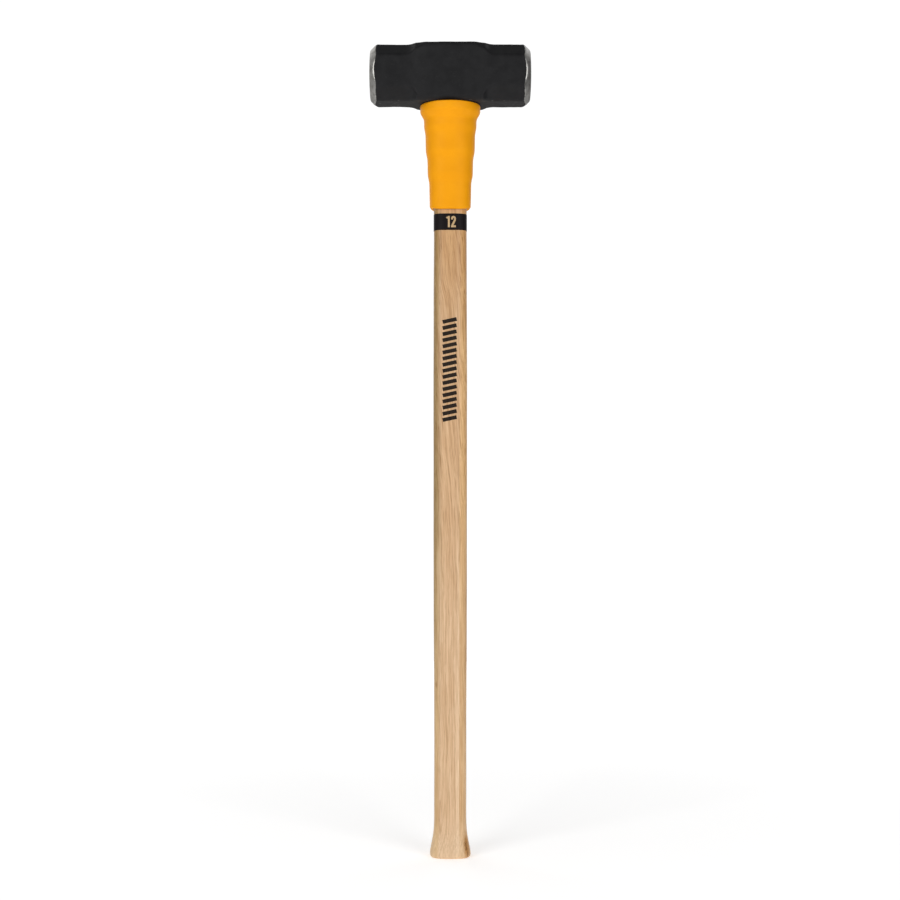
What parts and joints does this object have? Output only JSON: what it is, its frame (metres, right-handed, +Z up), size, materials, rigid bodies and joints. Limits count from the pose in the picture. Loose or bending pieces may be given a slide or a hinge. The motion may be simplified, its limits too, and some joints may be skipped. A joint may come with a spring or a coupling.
{
  "type": "sledgehammer",
  "caption": "Double-faced forged sledgehammer head on a flared hickory handle, wedged in an oval eye, with a stepped overstrike guard and a dark weight band.",
  "frame": {"origin": "centre of the handle's flat butt end, which is the bottom centre of the whole tool", "axes": "+Z up the handle to the head; +X along the head, through one striking face; the tool is the same to the left and right of the YZ plane but for its skewed wedges"},
  "size_m": [0.183, 0.0688, 0.9144],
  "materials": {
    "head_paint": "satin",
    "hickory": "satin",
    "wedge_wood": "matte",
    "bare_steel": "satin",
    "guard_yellow": "satin",
    "band_black": "satin",
    "mark_tan": "matte"
  },
  "bodies": {
    "root": {"hammer_head": "head_paint", "handle": "hickory", "wood_wedge": "wedge_wood", "steel_wedge_left": "bare_steel", "steel_wedge_right": "bare_steel", "overstrike_guard": "guard_yellow", "weight_band": "band_black"}
  },
  "joints": []
}
